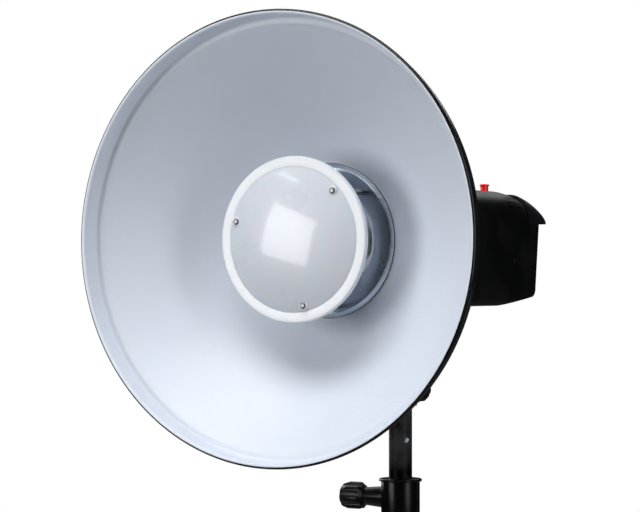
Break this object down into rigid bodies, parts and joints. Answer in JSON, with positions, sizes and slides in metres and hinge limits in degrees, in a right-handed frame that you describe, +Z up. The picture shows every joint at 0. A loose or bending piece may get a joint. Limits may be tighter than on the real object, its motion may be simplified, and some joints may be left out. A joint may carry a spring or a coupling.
{
  "type": "studio flash head with beauty dish",
  "caption": "Black studio flash head with a wide white beauty dish and opal deflector, on a tilting bracket, riser tube and clamp collar.",
  "frame": {"origin": "centre of the mouth of the clamp collar's tube socket, on the stand's axis", "axes": "+Z up along the stand, -Y the way the light shines, +X the operator's left"},
  "size_m": [0.4199, 0.477, 0.5],
  "materials": {
    "black_moulding": "satin black moulding",
    "knob_moulding": "fine-grained black moulding",
    "bright_fixings": "zinc plated",
    "black_fixings": "blackened steel",
    "black_tube": "satin black powder coat",
    "stud_steel": "turned",
    "black_casting": "black crinkle paint on an alloy casting",
    "friction_disc": "fibre disc",
    "case_moulding": "fine-textured black moulding",
    "panel_moulding": "matt dark grey moulding",
    "red_lens": "clear red moulding",
    "cast_ring": "machined casting",
    "polished_reflector": "polished",
    "ceramic": "unglazed white ceramic",
    "flash_glass": "clear heat-proof glass",
    "frosted_glass": "frosted",
    "capacitor_sleeve": "shrink sleeve",
    "circuit_board": "solder mask",
    "coil_resin": "potted",
    "copper_winding": "enamelled copper",
    "display_glass": "smoked red window",
    "button_grey": "grey keys",
    "rocker_red": "red rocker",
    "dish_white": "white textured powder coat inside, satin black outside",
    "polished_plate": "nickel plated",
    "dark_steel": "blackened steel",
    "chrome_posts": "plated",
    "spun_aluminium": "spun",
    "opal_dome": "opal moulding",
    "ring_white": "gloss white"
  },
  "bodies": {
    "collar": {"stand_collar": "black_moulding", "collar_boss": "black_moulding", "collar_bush": "black_moulding", "collar_rivet": "bright_fixings"},
    "collar_clamp": {"collar_screw": "bright_fixings", "collar_knob": "knob_moulding"},
    "riser": {"riser_tube": "black_tube", "riser_end_plug": "black_moulding", "riser_rivet": "bright_fixings", "stand_stud": "stud_steel"},
    "bracket": {"tilt_bracket": "black_casting", "tilt_bolt": "bright_fixings", "tilt_nut": "bright_fixings", "tilt_discs": "friction_disc"},
    "socket_clamp": {"socket_screw": "bright_fixings", "socket_knob": "knob_moulding"},
    "umbrella_clamp": {"umbrella_screw": "black_fixings"},
    "tilt_clamp": {"tilt_lever": "knob_moulding"},
    "head": {"head_shoe": "black_casting", "shoe_screws": "bright_fixings", "lower_case": "case_moulding", "top_cover": "case_moulding", "front_bezel": "case_moulding", "rear_panel": "panel_moulding", "carry_handle": "case_moulding", "head_screws": "black_fixings", "slave_sensor": "red_lens", "front_ring": "cast_ring", "reflector_cup": "polished_reflector", "tube_base": "ceramic", "flash_tube": "flash_glass", "lamp_socket": "ceramic", "modelling_lamp": "frosted_glass", "capacitors": "capacitor_sleeve", "main_board": "circuit_board", "trigger_coil": "coil_resin", "power_choke": "copper_winding", "fan_frame": "panel_moulding", "control_board": "circuit_board", "display_window": "display_glass", "sync_socket": "panel_moulding", "mains_inlet": "panel_moulding"},
    "fan": {"fan_rotor": "panel_moulding"},
    "power_knob": {"power_dial": "knob_moulding"},
    "lamp_knob": {"lamp_dial": "knob_moulding"},
    "test_key": {"test_button": "button_grey"},
    "sensor_key": {"sensor_button": "button_grey"},
    "beep_key": {"beep_button": "button_grey"},
    "rocker": {"mains_rocker": "rocker_red"},
    "fuse": {"fuse_cap": "knob_moulding"},
    "lock": {"lock_slider": "knob_moulding"},
    "dish": {"dish_bowl": "dish_white", "base_plate": "polished_plate", "mount_flange": "dark_steel", "flange_rivets": "bright_fixings", "deflector_posts": "chrome_posts", "deflector_plate": "spun_aluminium", "deflector_dome": "opal_dome", "deflector_ring": "ring_white", "deflector_screws": "bright_fixings"}
  },
  "joints": [
    {"name": "collar_clamp_turn", "type": "hinge", "parent": "collar", "child": "collar_clamp", "pos_m": [-0.039, 0, 0.0345], "axis": [-1, 0, 0], "range_deg": [0, 540]},
    {"name": "riser_slide", "type": "slide", "parent": "collar", "child": "riser", "axis": [0, 0, 1], "range_m": [-0.035, 0]},
    {"name": "pan", "type": "hinge", "parent": "riser", "child": "bracket", "pos_m": [0, 0, 0.14], "axis": [0, 0, 1], "continuous": true},
    {"name": "socket_clamp_turn", "type": "hinge", "parent": "bracket", "child": "socket_clamp", "pos_m": [0, 0.019, 0.1415], "axis": [0, 1, 0], "range_deg": [0, 540]},
    {"name": "umbrella_clamp_turn", "type": "hinge", "parent": "bracket", "child": "umbrella_clamp", "pos_m": [0.019, 0, 0.17], "axis": [1, 0, 0], "range_deg": [0, 540]},
    {"name": "tilt_clamp_turn", "type": "hinge", "parent": "bracket", "child": "tilt_clamp", "pos_m": [-0.025, 0, 0.192], "axis": [-1, 0, 0], "range_deg": [-70, 60]},
    {"name": "tilt", "type": "hinge", "parent": "bracket", "child": "head", "pos_m": [0, 0, 0.192], "axis": [1, 0, 0], "range_deg": [-60, 45]},
    {"name": "fan_spin", "type": "hinge", "parent": "head", "child": "fan", "pos_m": [0, 0.061, 0.26], "axis": [0, 1, 0], "continuous": true},
    {"name": "power_dial_turn", "type": "hinge", "parent": "head", "child": "power_knob", "pos_m": [-0.038, 0.187, 0.276], "axis": [0, 1, 0], "range_deg": [-140, 140]},
    {"name": "lamp_dial_turn", "type": "hinge", "parent": "head", "child": "lamp_knob", "pos_m": [0.038, 0.187, 0.276], "axis": [0, 1, 0], "range_deg": [-140, 140]},
    {"name": "test_press", "type": "slide", "parent": "head", "child": "test_key", "axis": [0, -1, 0], "range_m": [0, 0.0018], "stiffness_N_per_m": 400},
    {"name": "sensor_press", "type": "slide", "parent": "head", "child": "sensor_key", "axis": [0, -1, 0], "range_m": [0, 0.0018], "stiffness_N_per_m": 400},
    {"name": "beep_press", "type": "slide", "parent": "head", "child": "beep_key", "axis": [0, -1, 0], "range_m": [0, 0.0018], "stiffness_N_per_m": 400},
    {"name": "mains_rock", "type": "hinge", "parent": "head", "child": "rocker", "pos_m": [-0.015, 0.186, 0.249], "axis": [1, 0, 0], "range_deg": [-16, 0]},
    {"name": "fuse_cap_turn", "type": "hinge", "parent": "head", "child": "fuse", "pos_m": [0.006, 0.187, 0.249], "axis": [0, 1, 0], "range_deg": [-90, 0]},
    {"name": "lock_slide", "type": "slide", "parent": "head", "child": "lock", "axis": [0, 1, 0], "range_m": [0, 0.004], "stiffness_N_per_m": 500},
    {"name": "bayonet_turn", "type": "hinge", "parent": "head", "child": "dish", "pos_m": [0, -0.1395, 0.29], "axis": [0, 1, 0], "range_deg": [0, 28]}
  ]
}
